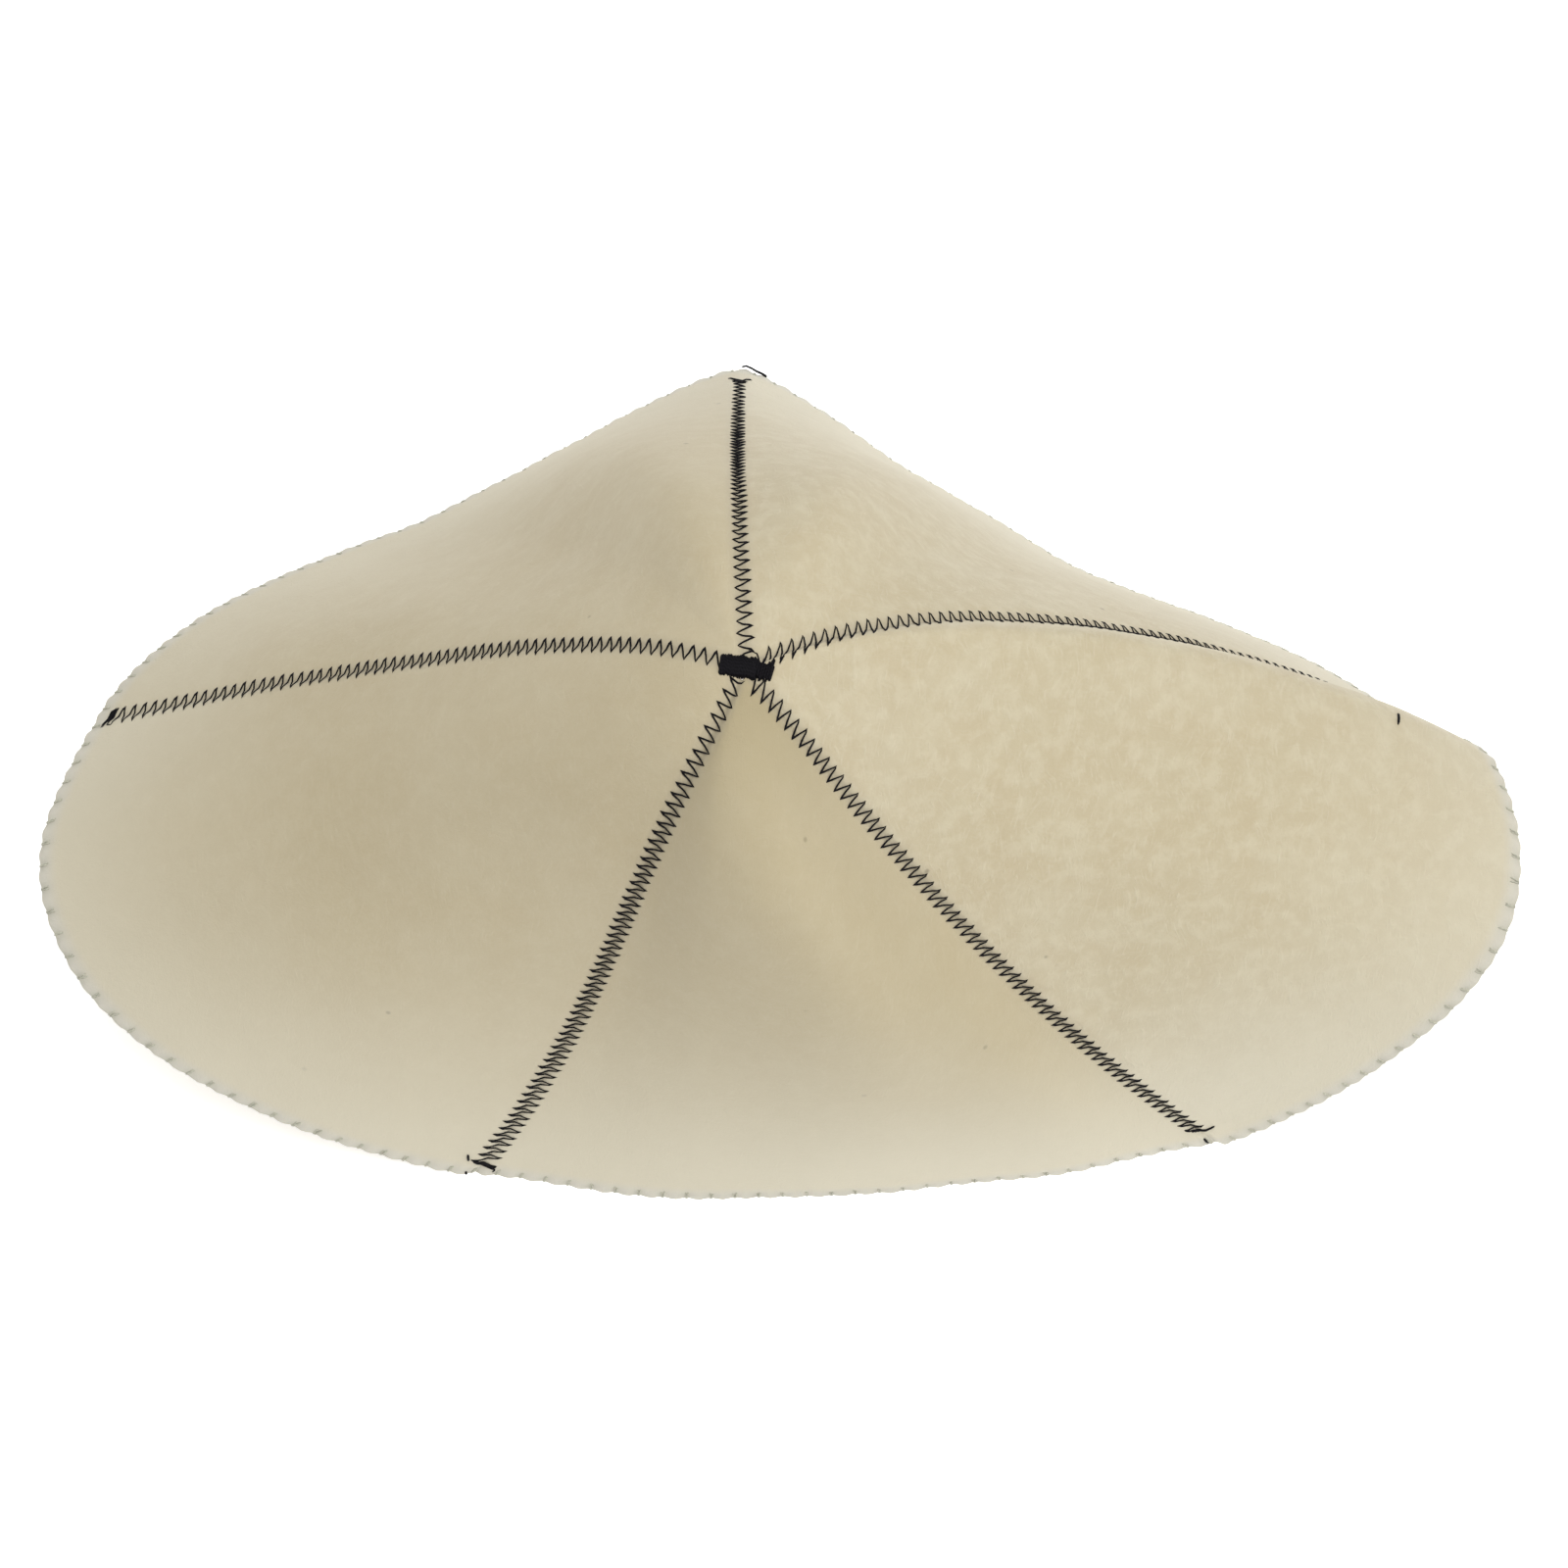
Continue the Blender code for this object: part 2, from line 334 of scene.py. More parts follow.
class Paint:
    def __init__(self, name, roughness):
        self.material = bpy.data.materials.new(name)
        self.material.use_nodes = True
        self.tree = self.material.node_tree
        self.shader = self.tree.nodes["Principled BSDF"]
        self.shader.inputs["Roughness"].default_value = roughness

    def node(self, kind, settings=None, sockets=None, output=0):
        made = self.tree.nodes.new(kind)
        for key, value in (settings or {}).items():
            setattr(made, key, value)
        for key, value in (sockets or {}).items():
            self.feed(made.inputs[key], value)
        return Wire(self, made.outputs[output])

    def feed(self, socket, value):
        if isinstance(value, Wire):
            self.tree.links.new(value.socket, socket)
        else:
            socket.default_value = value

    def noise(self, vector, scale, detail=3.0, roughness=0.55):
        return self.node("ShaderNodeTexNoise", {}, {"Vector": vector, "Scale": scale, "Detail": detail,
                                                    "Roughness": roughness})

    def ramp(self, value, low, high):
        return self.node("ShaderNodeMapRange", {"interpolation_type": "SMOOTHSTEP"},
                         {"Value": value, "From Min": low, "From Max": high, "To Min": 0.0, "To Max": 1.0})

    def attribute(self, name, output=2):
        return self.node("ShaderNodeAttribute", {"attribute_name": name}, output=output)

    def mix(self, share, first, second):
        # the colour sockets of a Mix node follow its six number and vector sockets
        return self.node("ShaderNodeMix", {"data_type": "RGBA"}, {0: share, 6: first, 7: second}, output=2)

    def set(self, **sockets):
        for name, value in sockets.items():
            self.feed(self.shader.inputs[name.replace("_", " ")], value)


feltColours = {
    "wool": (0.500, 0.425, 0.275, 1),
    "pale": (0.600, 0.540, 0.395, 1),
    "curl": (0.660, 0.610, 0.460, 1),
    "warm": (0.470, 0.375, 0.225, 1),
    # the colour of the painted light on the pale rim
    "rim": (0.655, 0.605, 0.470, 1),
    # the colour of the painted shade in the rim's notches
    "notchShade": (0.330, 0.335, 0.250, 1),
    "band": (0.620, 0.605, 0.550, 1),
    # the colour of the painted shade in the seams' grooves
    "grooveShade": (0.400, 0.355, 0.265, 1),
    # the colour of the painted shade below the apex and on the front gore
    "paintedShade": (0.405, 0.340, 0.205, 1),
    "speck": (0.16, 0.13, 0.09, 1),
}
# marks in the wool: scale, detail and roughness of the noise, and where each mark starts and is full
feltMarks = {
    "clouds": (24.0, 2.0, 0.55, 0.32, 0.70),
    "blots": (80.0, 2.0, 0.5, 0.34, 0.70),
    "tufts": (220.0, 3.0, 0.6, 0.38, 0.72),
    "grain": (900.0, 4.0, 0.7, 0.30, 0.72),
    "fibres": (1.0, 2.0, 0.5, 0.52, 0.78),
}
feltFinish = {
    # how much each mark shows all over, and how much more where the nap is raised, which for the clouds is
    # partly painted light
    "clouds": (0.24, 0.22),
    "blots": (0.10, 0.16),
    "tufts": (0.06, 0.30),
    "fibres": (0.08, 0.20),
    "grain": 0.16,
    "specks": 0.55,
    # painted shade in the seams' grooves: how strongly it shows
    "grooveShade": 0.45,
    "band": 0.60,
    # painted shade in the rim's notches: how strongly it shows
    "notchShade": 0.28,
    # the scales of fibres combed two ways, and how a swirl bends them
    "combed": ((1300.0, 210.0, 320.0), (260.0, 1500.0, 320.0)),
    "crossed": 0.5,
    "swirl": 60.0,
    "bend": (0.012, 0.012, 0.012),
    # chaff: cells to a metre, which of them hold a speck, and its size in its cell
    "speckScale": 130.0,
    "speckChance": (0.955, 0.97),
    "speckSize": (0.05, 0.13),
    # where the painted shade of the groove, the tint of the rim's band and the painted light of the pale rim
    # begin and end
    "grooveEnds": (0.0002, 0.0042),
    "bandEnds": (0.0012, 0.0060),
    "paleEnds": (0.0, 1.2),
    "roughness": (0.86, 0.12),
    # relief: fuzz and grain, then fibres and tufts with more of each where the nap is raised
    "fuzzScale": 2600.0,
    "fuzzHeight": 0.5,
    "grainHeight": 0.35,
    "fibreHeight": (0.3, 0.4),
    "tuftHeight": (0.3, 0.7),
    "relief": 0.55,
    "reliefDepth": 0.00022,
}


def makeFeltMaterial():
    paint = Paint("woolFelt", 0.92)
    place = paint.node("ShaderNodeTexCoord", output=3)
    fromSeam = paint.node("ShaderNodeSeparateXYZ", {}, {0: paint.attribute("sewing", 1)})
    fromRim = fromSeam.other(1)
    napAndLight = fromSeam.other(2)

    def marks(name, vector=place):
        scale, detail, roughness, begins, full = feltMarks[name]
        return paint.ramp(paint.noise(vector, scale, detail, roughness), begins, full)

    def withNap(name):
        least, more = feltFinish[name]
        return least + napAndLight * more

    # broad clouds of lighter and warmer wool, then finer ones
    clouds, blots, tufts, grain = (marks(name) for name in ("clouds", "blots", "tufts", "grain"))
    cloudy, raised = feltFinish["clouds"]
    # paler where the nap is raised: partly the raised nap, partly painted light on the right-hand gores
    colour = paint.mix(clouds * cloudy + napAndLight * raised, feltColours["wool"], feltColours["pale"])
    colour = paint.mix(blots * withNap("blots"), colour, feltColours["warm"])
    colour = paint.mix(tufts * withNap("tufts"), colour, feltColours["curl"])
    colour = paint.mix(grain * feltFinish["grain"], colour, feltColours["pale"])
    # loose fibres, most of them combed one way
    swirl = paint.noise(place, feltFinish["swirl"], 1.0)
    bent = paint.node("ShaderNodeVectorMath", {"operation": "MULTIPLY_ADD"},
                      {0: swirl.other(1), 1: feltFinish["bend"], 2: place})
    combed = []
    for stretch in feltFinish["combed"]:
        laid = paint.node("ShaderNodeVectorMath", {"operation": "MULTIPLY"}, {0: bent, 1: stretch})
        combed.append(marks("fibres", laid))
    fibres = combed[0] + combed[1] * feltFinish["crossed"]
    colour = paint.mix(fibres * withNap("fibres"), colour, feltColours["curl"])
    # a few dark specks of chaff
    cells = paint.node("ShaderNodeTexVoronoi", {"feature": "F1"},
                       {"Vector": place, "Scale": feltFinish["speckScale"]})
    chance = paint.node("ShaderNodeSeparateColor", {}, {0: cells.other(1)})
    chosen = paint.ramp(chance, *feltFinish["speckChance"])
    speck = (1.0 - paint.ramp(cells, *feltFinish["speckSize"])) * chosen
    colour = paint.mix(speck * feltFinish["specks"], colour, feltColours["speck"])
    # painted shade: greyer below the tip, along the front gore and in the seams' grooves; painted light:
    # paler towards the overlocked rim
    colour = paint.mix(paint.attribute("paintedShade"), colour, feltColours["paintedShade"])
    # painted shade along the seams' grooves
    nearSeam = 1.0 - paint.ramp(fromSeam, *feltFinish["grooveEnds"])
    colour = paint.mix(nearSeam * feltFinish["grooveShade"], colour, feltColours["grooveShade"])
    # painted light: the felt pales towards the rim, most where it stands steep
    pale = paint.ramp(paint.attribute("pale"), *feltFinish["paleEnds"])
    colour = paint.mix(pale, colour, feltColours["rim"])
    nearRim = 1.0 - paint.ramp(fromRim, *feltFinish["bandEnds"])
    colour = paint.mix(nearRim * feltFinish["band"], colour, feltColours["band"])
    # painted shade in the notch at each overlock stitch
    colour = paint.mix(paint.attribute("notchShade") * feltFinish["notchShade"], colour, feltColours["notchShade"])
    smoothest, rougher = feltFinish["roughness"]
    paint.set(Base_Color=colour, Roughness=smoothest + grain * rougher)
    fuzz = paint.noise(place, feltFinish["fuzzScale"], 3.0, 0.7)
    height = fuzz * feltFinish["fuzzHeight"] + grain * feltFinish["grainHeight"]
    height = height + fibres * withNap("fibreHeight") + tufts * withNap("tuftHeight")
    paint.set(Normal=paint.node("ShaderNodeBump", {}, {
        "Strength": feltFinish["relief"], "Distance": feltFinish["reliefDepth"], "Height": height}))
    paint.set(Sheen_Weight=0.22, Sheen_Roughness=0.55, Sheen_Tint=(1.0, 0.97, 0.90, 1.0))
    paint.set(Specular_IOR_Level=0.2)
    return paint.material


# each thread: colour between its plies, which is painted shade, and on them, roughness, sheen and the length
# of one twist
threads = {
    "blackThread": ((0.0008, 0.0006, 0.0010, 1), (0.007, 0.006, 0.009, 1), 0.6, 0.01, 0.0009),
    "creamThread": ((0.44, 0.435, 0.345, 1), (0.57, 0.56, 0.46, 1), 0.75, 0.2, 0.0012),
}
# lint on every thread: its scale, and its share of the colour, the relief and the roughness
threadLint = {"scale": 3800.0, "colour": 0.3, "relief": 0.4, "roughness": 0.15}


def makeThreadMaterial(name, dark, light, roughness, sheen, twist):
    paint = Paint(name, roughness)
    run = paint.node("ShaderNodeSeparateXYZ", {}, {0: paint.attribute("strand", 1)})
    turn = run.other(1)
    place = paint.node("ShaderNodeTexCoord", output=3)
    # plies wound round the thread
    phase = run * (2 * math.pi / twist) + turn * (2 * math.pi)
    ply = 0.5 + 0.5 * paint.node("ShaderNodeMath", {"operation": "SINE"}, {0: phase})
    lint = paint.noise(place, threadLint["scale"], 2.0, 0.6)
    # painted shade: darker in the hollows between the plies
    colour = paint.mix(ply * (1 - threadLint["colour"]) + lint * threadLint["colour"], dark, light)
    relief = ply + lint * threadLint["relief"]
    bump = paint.node("ShaderNodeBump", {}, {"Strength": 0.8, "Distance": 0.00006, "Height": relief})
    paint.set(Base_Color=colour, Normal=bump, Roughness=roughness + lint * threadLint["roughness"])
    paint.set(Sheen_Weight=sheen, Sheen_Roughness=0.4, Specular_IOR_Level=0.15)
    return paint.material


def finishPiece(piece, material, slot, *nodes):
    piece.data.materials.clear()
    piece.data.materials.append(material)
    piece.data.shade_smooth()
    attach(piece, "root")
    if nodes:
        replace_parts(piece, *nodes)
    return piece


feltMaterial = makeFeltMaterial()
blackThread, creamThread = (makeThreadMaterial(name, *finish) for name, finish in threads.items())
print("materials made")


def makeGore(number):
    node = hat["gores"][number]
    bpy.ops.mesh.primitive_grid_add(x_subdivisions=feltSewing["columns"], y_subdivisions=feltSewing["rows"],
                                    size=1.0, calc_uvs=True)
    gore = bpy.context.object
    gore.name = "felt_" + node
    mesh = gore.data
    bpy.ops.object.mode_set(mode="EDIT")
    bpy.ops.mesh.select_all(action="SELECT")
    bpy.ops.mesh.extrude_region()
    bpy.ops.object.mode_set(mode="OBJECT")
    count = len(mesh.vertices)
    flat = np.empty(count * 3)
    mesh.vertices.foreach_get("co", flat)
    flat = flat.reshape(-1, 3)
    inner = np.zeros(count, dtype=bool)
    mesh.vertices.foreach_get("select", inner)
    u, v = flat[:, 0] + 0.5, 0.5 - flat[:, 1]
    across = u - feltSewing["closeAtSeams"] * np.sin(2 * math.pi * u) / (2 * math.pi)
    close = feltSewing["closeAtRim"]
    down = hat["tipShare"] + (1 - hat["tipShare"]) * (v * (1 + close) - close * v * v)
    around = (number + across) / 5
    # the seam's side decides which neighbour's stitches draw the felt in
    around = np.clip(around, number / 5 + 1e-7, (number + 1) / 5 - 1e-7)
    depth = np.where(inner, hat["thickness"], 0.0)
    placed, _ = sewnFelt(around, down, depth)
    mesh.vertices.foreach_set("co", placed.ravel())
    # how far each point is from its seam and from the rim, for the felt's colour
    _, along, steep, _ = feltFrame(around, down)
    beside = np.minimum(across, 1 - across) * np.linalg.norm(along, axis=-1) / 5
    fromRim = (1 - down) * np.linalg.norm(steep, axis=-1)
    sewing = mesh.attributes.new("sewing", "FLOAT_VECTOR", "POINT")
    # each gore's nap, which also paints the right-hand gores paler as painted light
    napAndLight = np.full_like(beside, feltSewing["napAndLight"][number])
    sewing.data.foreach_set("vector", np.stack((beside, fromRim, napAndLight), axis=-1).ravel())
    # painted light: paler near the rim, reaching higher and stronger where the felt stands steep, and set
    # apart at each gore's two seams
    stands = np.abs(unit(steep)[:, 2])
    width = feltSewing["paleFlat"] + (feltSewing["paleSteep"] - feltSewing["paleFlat"]) * stands
    pale = np.clip(1.0 - fromRim / width, 0.0, 1.0)
    pale = pale * (feltSewing["paleLeast"] + feltSewing["paleMore"] * stands)
    pale = pale * np.interp(across, (0.0, 1.0), feltSewing["paleShare"][number])
    # painted shade: darkest just below the apex on the front and left gores, along a ridge of the front gore,
    # and lightly over the whole front gore
    tip, side, whole = feltSewing["paintedShade"][number]
    reach = np.hypot(*(placed[:, :2] - hat["apex"]).T)
    ridge = np.exp(-((across - feltSewing["ridgeAcross"]) / feltSewing["ridgeWidth"]) ** 2)
    ridge = ridge * np.clip(reach / feltSewing["ridgeReach"], 0.0, 1.0)
    paintedShade = np.minimum(tip * np.exp(-(reach / feltSewing["tipReach"]) ** 2) + side * ridge + whole, 1.0)
    # painted shade in the notch the overlock pinches at each stitch
    notchShade = 0.5 + 0.5 * np.cos(2 * math.pi * rimStitch(around))
    notchShade = notchShade * np.exp(-(fromRim / overlock["bite"]) ** 2)
    for name, values in (("pale", pale), ("paintedShade", paintedShade), ("notchShade", notchShade)):
        mesh.attributes.new(name, "FLOAT", "POINT").data.foreach_set("value", values)
    mesh.update()
    bpy.ops.object.mode_set(mode="EDIT")
    bpy.ops.mesh.select_all(action="SELECT")
    bpy.ops.mesh.normals_make_consistent(inside=False)
    bpy.ops.object.mode_set(mode="OBJECT")
    edge = gore.modifiers.new("softEdge", "BEVEL")
    edge.width = feltSewing["edge"]
    edge.segments = 2
    edge.limit_method = "ANGLE"
    edge.angle_limit = math.radians(60)
    bpy.ops.object.modifier_apply(modifier=edge.name)
    bpy.ops.object.select_all(action="DESELECT")
    return finishPiece(gore, feltMaterial, "felt", node)


gores = [makeGore(number) for number in range(5)]
print("felt gores made")


# every thread's rings: how many sides they have, and how much finer the two ends are
threadRings = {"sides": 6, "endSize": 0.55}


def makeThread(name, strands, radius, material, slot, weights=None):
    # every strand is a list of points; rings of a few sides follow it, wider or finer by its weights
    sides = threadRings["sides"]
    verts, faces, strandData = [], [], []
    for number, points in enumerate(strands):
        points = np.asarray(points, dtype=float)
        weight = np.ones(len(points)) if weights is None else weights[number]
        tangent = unit(np.gradient(points, axis=0))
        run = np.concatenate(([0.0], np.cumsum(np.linalg.norm(np.diff(points, axis=0), axis=1))))
        normal = np.cross(tangent[0], (0.0, 0.0, 1.0) if abs(tangent[0][2]) < 0.9 else (1.0, 0.0, 0.0))
        first = len(verts)
        for i, point in enumerate(points):
            normal = normal - tangent[i] * normal.dot(tangent[i])
            normal = normal / np.linalg.norm(normal)
            other = np.cross(tangent[i], normal)
            size = radius * weight[i] * (threadRings["endSize"] if i in (0, len(points) - 1) else 1.0)
            for k in range(sides):
                turn = 2 * math.pi * k / sides
                verts.append(point + size * (math.cos(turn) * normal + math.sin(turn) * other))
                strandData.append((run[i], k / sides, 0.0))
        for i in range(len(points) - 1):
            a, b = first + i * sides, first + (i + 1) * sides
            for k in range(sides):
                n = (k + 1) % sides
                faces.append((a + k, a + n, b + n, b + k))
        faces.append(tuple(first + k for k in reversed(range(sides))))
        faces.append(tuple(first + (len(points) - 1) * sides + k for k in range(sides)))
    mesh = bpy.data.meshes.new(name)
    mesh.from_pydata([tuple(v) for v in verts], [], faces)
    attribute = mesh.attributes.new("strand", "FLOAT_VECTOR", "POINT")
    attribute.data.foreach_set("vector", np.array(strandData).ravel())
    piece = bpy.data.objects.new(name, mesh)
    bpy.context.scene.collection.objects.link(piece)
    return finishPiece(piece, material, slot)


def onFelt(places, under=False):
    # points over the felt: each place is (around, down, height), under the wall where asked
    around, down, height = np.array(places, dtype=float).T
    depth = np.full_like(around, hat["thickness"] if under else 0.0)
    points, out = sewnFelt(around, down, depth)
    return points + out * (-height if under else height)[:, None]


def besideSeam(seam, steps):
    # places beside a seam: each step is (run along it from the apex, aside across it, height), in metres
    run, aside, height = np.array(steps, dtype=float).T
    down = np.interp(run, seamRuns[seam], downSteps)
    _, along, _, _ = feltFrame(np.full_like(down, seam / 5), down)
    return np.stack((seam / 5 + aside / np.linalg.norm(along, axis=-1), down, height), axis=-1)


def zigzagSteps(seam, dice):
    end = seamRuns[seam][-1] - zigzag["ends"][seam]
    holes = []
    run, side = zigzag["start"], 1
    while run < end:
        aside = side * halfWidth(seam, run) + dice.uniform(-1, 1) * zigzag["wander"]
        holes.append((run + dice.uniform(-1, 1) * zigzag["wander"], aside))
        side = -side
        longer = np.interp(run / end, *zip(*zigzag["longer"])) if seam == zigzag["longSeam"] else 1.0
        run += zigzag["pitch"] / 2 * longer
    # the end is sewn over itself, wider than the seam
    for run, aside in zigzag["tacks"][seam]:
        holes.append((end + run, aside))
    steps = []
    lift = zigzag["radius"]
    for (run, aside), (nextRun, nextAside) in zip(holes, holes[1:]):
        steps.append((run, aside, zigzag["holeHeight"] * lift))
        for share, height in zigzag["stitch"]:
            steps.append((run + (nextRun - run) * share, aside + (nextAside - aside) * share, height * lift))
    steps.append((*holes[-1], zigzag["endHeight"] * lift))
    return steps


dice = random.Random(5)
for seam, label in enumerate(zigzag["seams"]):
    for under, name in ((False, "zigzag_"), (True, "zigzag_inside_")):
        steps = zigzagSteps(seam, dice)
        strand = onFelt(besideSeam(seam, steps), under)
        run, aside = np.array(steps)[:, 0], np.array(steps)[:, 1]
        side = zigzag["sideReach"]
        weight = np.interp(aside, (-side, side), (zigzag["heavy"], zigzag["light"]))
        weight = weight * np.interp(run, (0.0, zigzag["apexReach"]), (zigzag["nearApex"], 1.0))
        makeThread(name + label, [strand], zigzag["radius"], blackThread, "black_thread", [weight])
print("seam stitches made")

# short black stitches and one loose end beyond the seams, at the rim
threadEnds = {
    # each short stitch: its seam, then how far each end is from the rim and beside that seam
    "ticks": (
        (0, ((0.0278, -0.0306), (0.0295, -0.0357))),
        (3, ((0.0090, -0.0061), (0.0064, -0.0047))),
        (3, ((0.0016, -0.0032), (0.0003, -0.0026))),
        (4, ((0.0040, -0.0014), (0.0008, -0.0018))),
    ),
    # share of a short stitch's length and height in thread radii
    "stitch": ((0.0, -0.3), (0.2, 0.7), (0.5, 1.0), (0.8, 0.7), (1.0, -0.3)),
    # the loose end: distance from the rim, aside and height
    "looseSeam": 1,
    "loose": ((0.0000, -0.0004, 0.0006), (-0.0003, -0.0014, 0.0008), (-0.0004, -0.0028, 0.0009),
              (-0.0003, -0.0042, 0.0008), (0.0000, -0.0057, 0.0005), (0.0004, -0.0071, 0.0002)),
    "loosePoints": 26,
    "radius": 0.00026,
    # how thick the short stitches are, and the loose end at its root and at its tip
    "tick": 1.35,
    "looseSize": (1.0, 1.5),
}


def makeThreadEnds():
    strands, weights = [], []
    lift = threadEnds["radius"]
    for seam, (first, last) in threadEnds["ticks"]:
        length = seamRuns[seam][-1]
        steps = []
        for share, height in threadEnds["stitch"]:
            fromRim, aside = (a * (1 - share) + b * share for a, b in zip(first, last))
            steps.append((length - max(fromRim, 0.0), aside, height * lift))
        strands.append(onFelt(besideSeam(seam, steps)))
        weights.append(np.full(len(steps), threadEnds["tick"]))
    # the loose end springs clear of the rim
    seam = threadEnds["looseSeam"]
    length = seamRuns[seam][-1]
    steps = [(length - max(fromRim, 0.0), aside, 0.0) for fromRim, aside, _ in threadEnds["loose"]]
    places = besideSeam(seam, steps)
    base = onFelt(places)
    _, _, steep, out = feltFrame(places[:, 0], places[:, 1])
    beyond = np.array([[max(-fromRim, 0.0), height] for fromRim, _, height in threadEnds["loose"]])
    line = base + unit(steep) * beyond[:, :1] + out * beyond[:, 1:]
    fine = np.linspace(0, len(line) - 1, threadEnds["loosePoints"])
    strands.append(np.stack([np.interp(fine, np.arange(len(line)), line[:, k]) for k in range(3)], axis=-1))
    weights.append(np.linspace(*threadEnds["looseSize"], len(fine)))
    makeThread("thread_ends", strands, lift, blackThread, "black_thread", weights)


makeThreadEnds()
print("thread ends made")


# overlock round the rim
def makeOverlock():
    strands = []
    dice = random.Random(11)
    count = overlock["stitches"]
    lift = overlock["radius"]
    stitches = np.interp(np.arange(count) / count * rimRun[-1], rimRun, rimSteps)
    _, along, steep, _ = feltFrame(stitches, np.ones(count))
    drop, span = np.linalg.norm(steep, axis=-1), np.linalg.norm(along, axis=-1)
    for twin in (-1, 1):
        bite = overlock["bite"] * np.array([dice.uniform(*overlock["uneven"]) for _ in stitches])
        wander = overlock["wander"]
        lean = np.array([dice.uniform(-wander, wander) + twin * overlock["spread"] for _ in stitches]) / span
        over, under = [], []
        # in through the outer face, over the edge and back in from underneath
        for path, way, inside in ((over, 1, False), (under, -1, True)):
            for share, height in overlock["under" if inside else "over"]:
                around = stitches + lean * (overlock["spreadAtEdge"] + way * overlock["spreadMore"] * share)
                down = 1 - share * bite / drop
                path.append(onFelt(np.stack((around, down, np.full(count, height * lift)), axis=1), inside))
        outward = unit(steep) * lift * overlock["turnOut"]
        turn = [over[-1] * (1 - share) + under[0] * share + outward for share in overlock["turn"]]
        paths = np.stack(over + turn + under, axis=1)
        paths[:, :, 2] = np.maximum(paths[:, :, 2], lift)
        strands.extend(paths)
    # the looper thread lies along the edge, from stitch to stitch
    ring = np.linspace(0.0, 1.0, count * overlock["looperPoints"] + 1)[:-1]
    level = np.ones_like(ring)
    _, _, steep, out = feltFrame(ring, level)
    points = onFelt(np.stack((ring, level, 0 * ring), axis=1))
    points = points - out * hat["thickness"] * overlock["looperDepth"]
    points = points + unit(steep) * lift * overlock["looperOut"]
    points[:, 2] = np.maximum(points[:, 2], lift)
    strands.append(np.concatenate((points, points[:1])))
    return makeThread("overlock_rim", strands, lift, creamThread, "felt")


makeOverlock()
print("overlock made")

tackBars = {
    # each satin bar over the apex: centre, size, lean of its strands, its slope, then their spacing and how
    # loosely they end
    "bars": (
        ((-0.0016, 0.0005), (0.0088, 0.0060), 0.14, -0.14, 0.00036, 0.12),
        ((0.0041, -0.0003), (0.0054, 0.0056), 0.30, -0.10, 0.00060, 0.45),
    ),
    "radius": 0.00027,
    "layers": 2,
    "points": 9,
    "wander": 0.00003,
    # how high a strand lies, in thread radii, how far it arches, more in the upper layer, and how far its
    # two ends sink
    "seat": 0.4,
    "arch": 0.0005,
    "archMore": 0.00030,
    "sink": 0.0005,
    # where the way round is read, and how far down the crown the bars may reach, as shares of the profile
    "readAt": 0.05,
    "reach": 0.12,
}


crownRing = openFelt(rimPlaces, np.full_like(rimPlaces, tackBars["readAt"]))
crownTurns = np.arctan2(crownRing[:, 1] - hat["apex"][1], crownRing[:, 0] - hat["apex"][0])


def crownHeight(x, y):
    # height of the felt beside the apex, along the profile that points that way
    reach = math.hypot(x, y)
    if reach < 1e-4:
        return hat["apexHeight"]
    turn = np.angle(np.exp(1j * (crownTurns - math.atan2(y, x))))
    around = float(rimPlaces[np.argmin(np.abs(turn))])
    down = np.linspace(0.0, tackBars["reach"], 61)
    line = openFelt(np.full_like(down, around), down)
    out = np.hypot(line[:, 0] - hat["apex"][0], line[:, 1] - hat["apex"][1])
    return float(np.interp(reach, out, line[:, 2]))


def makeTack():
    dice = random.Random(3)
    strands = []
    for (cx, cy), (width, depth), lean, slope, pitch, loose in tackBars["bars"]:
        for layer in range(tackBars["layers"]):
            x = -width / 2 + pitch / 2 * layer
            while x <= width / 2:
                low = -depth / 2 * dice.uniform(0.95 - loose, 1.0)
                high = depth / 2 * dice.uniform(1 - loose, 1 + loose * 0.7)
                path = []
                for share in np.linspace(0.0, 1.0, tackBars["points"]):
                    y = low + (high - low) * share
                    px = cx + x + lean * y + dice.uniform(-1, 1) * tackBars["wander"]
                    py = cy + y + slope * x
                    arch = tackBars["arch"] + tackBars["archMore"] * layer
                    arch = arch * math.sin(math.pi * share) ** 0.5
                    sink = tackBars["sink"] if share in (0.0, 1.0) else 0.0
                    z = crownHeight(px, py) + tackBars["radius"] * tackBars["seat"] + arch - sink
                    path.append((hat["apex"][0] + px, hat["apex"][1] + py, z))
                strands.append(path)
                x += pitch
    piece = makeThread("apex_satin_tack", strands, tackBars["radius"], blackThread, "black_thread")
    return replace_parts(piece, "apex_tack")


makeTack()
print("apex tack made")


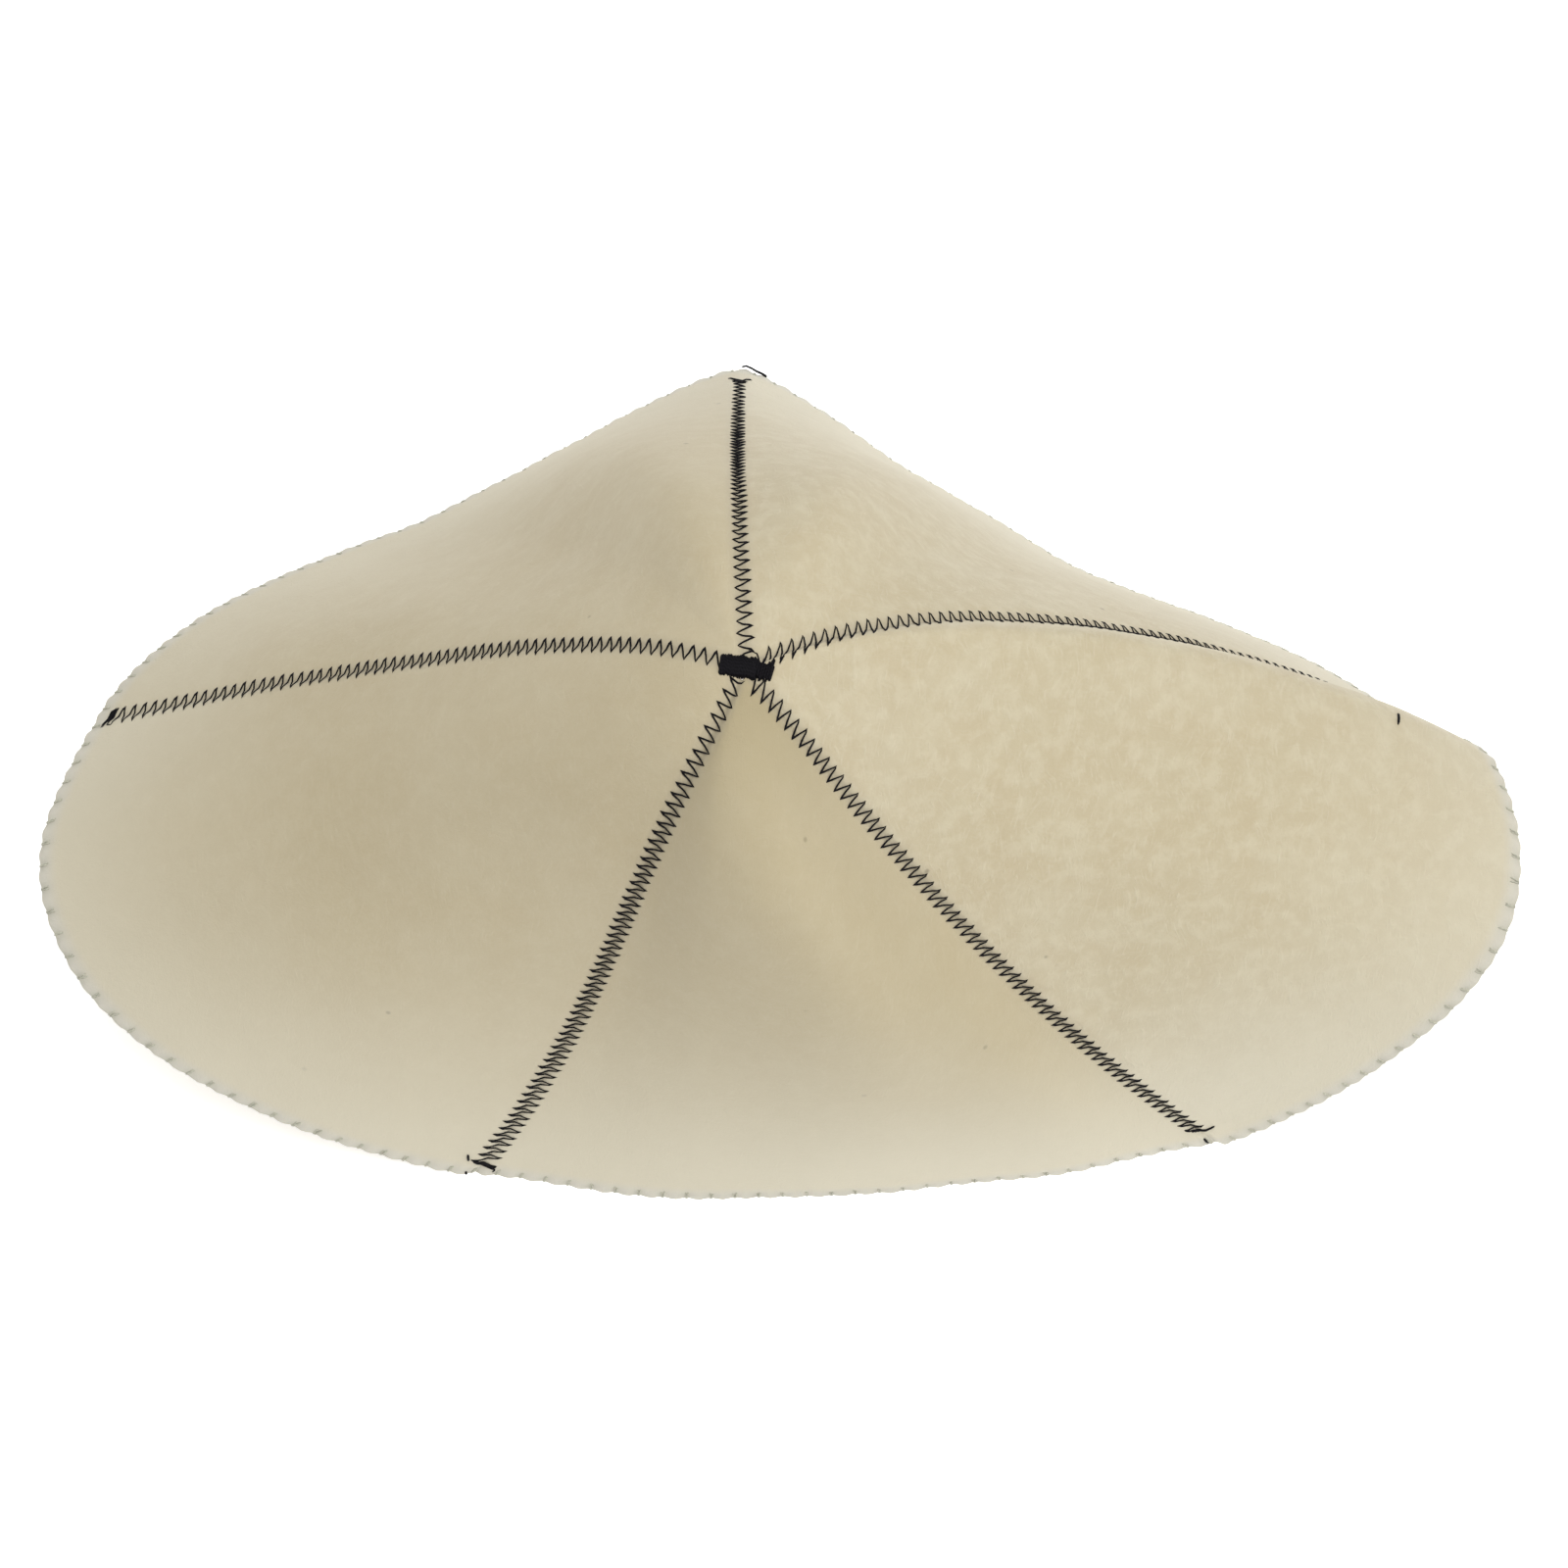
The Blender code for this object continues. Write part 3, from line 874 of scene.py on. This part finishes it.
# floor, light and camera
studio = {
    "floorSize": 8.0,
    "floorTop": -0.0001,
    "floorColour": (0.95, 0.95, 0.95, 1),
    "floorGlow": 0.58,
    "sky": 0.05,
    "lampsFace": (0.0, 0.0, 0.05),
    # place, size and power of each soft light
    "lights": {
        "overhead": ((0.0, 0.0, 2.2), 1.2, 34.0),
        "right": ((1.25, 0.0, 1.75), 1.2, 11.0),
        "lowRight": ((1.9, 0.0, 0.9), 1.2, 4.0),
        "lowBack": ((-0.75, 1.75, 0.9), 1.2, 6.5),
        "frontLeft": ((-1.34, -1.34, 0.9), 1.2, 5.0),
        "frontRight": ((1.34, -1.34, 0.9), 1.2, 7.0),
    },
}
bpy.ops.mesh.primitive_plane_add(size=studio["floorSize"], location=(0.0, 0.0, studio["floorTop"]))
floor = bpy.context.object
floor.name = "studioFloor"
floorPaint = Paint("paleFloor", 0.9)
floorPaint.set(Base_Color=studio["floorColour"], Specular_IOR_Level=0.1, Emission_Color=(1, 1, 1, 1),
               Emission_Strength=studio["floorGlow"])
floor.data.materials.append(floorPaint.material)

world = bpy.data.worlds.new("studio")
bpy.context.scene.world = world
world.use_nodes = True
world.node_tree.nodes["Background"].inputs[0].default_value = (1.0, 1.0, 1.0, 1.0)
world.node_tree.nodes["Background"].inputs[1].default_value = studio["sky"]
for name, (where, size, power) in studio["lights"].items():
    bpy.ops.object.light_add(type="AREA", location=where)
    lamp = bpy.context.object
    lamp.name = name
    lamp.data.shape = "SQUARE"
    lamp.data.size = size
    lamp.data.energy = power
    lamp.rotation_mode = "QUATERNION"
    lamp.rotation_quaternion = (Vector(where) - Vector(studio["lampsFace"])).to_track_quat("Z", "Y")

angle = math.radians(cameraFrom["elevation"])
look = Vector((0.0, math.cos(angle), -math.sin(angle)))
up = Vector((0.0, math.sin(angle), math.cos(angle)))
apex = Vector((*hat["apex"], hat["apexHeight"]))
bpy.ops.object.camera_add()
camera = bpy.context.object
camera.location = apex - look * cameraFrom["distance"] - up * cameraFrom["apexUp"]
camera.location.x -= cameraFrom["apexRight"]
camera.rotation_mode = "QUATERNION"
camera.rotation_quaternion = (-look).to_track_quat("Z", "Y")
camera.data.lens = cameraFrom["lens"]
camera.data.sensor_width = cameraFrom["sensor"]
camera.data.clip_start, camera.data.clip_end = cameraFrom["clip"]
bpy.context.scene.camera = camera
bpy.context.scene.view_settings.view_transform = "Standard"
print("stage made")
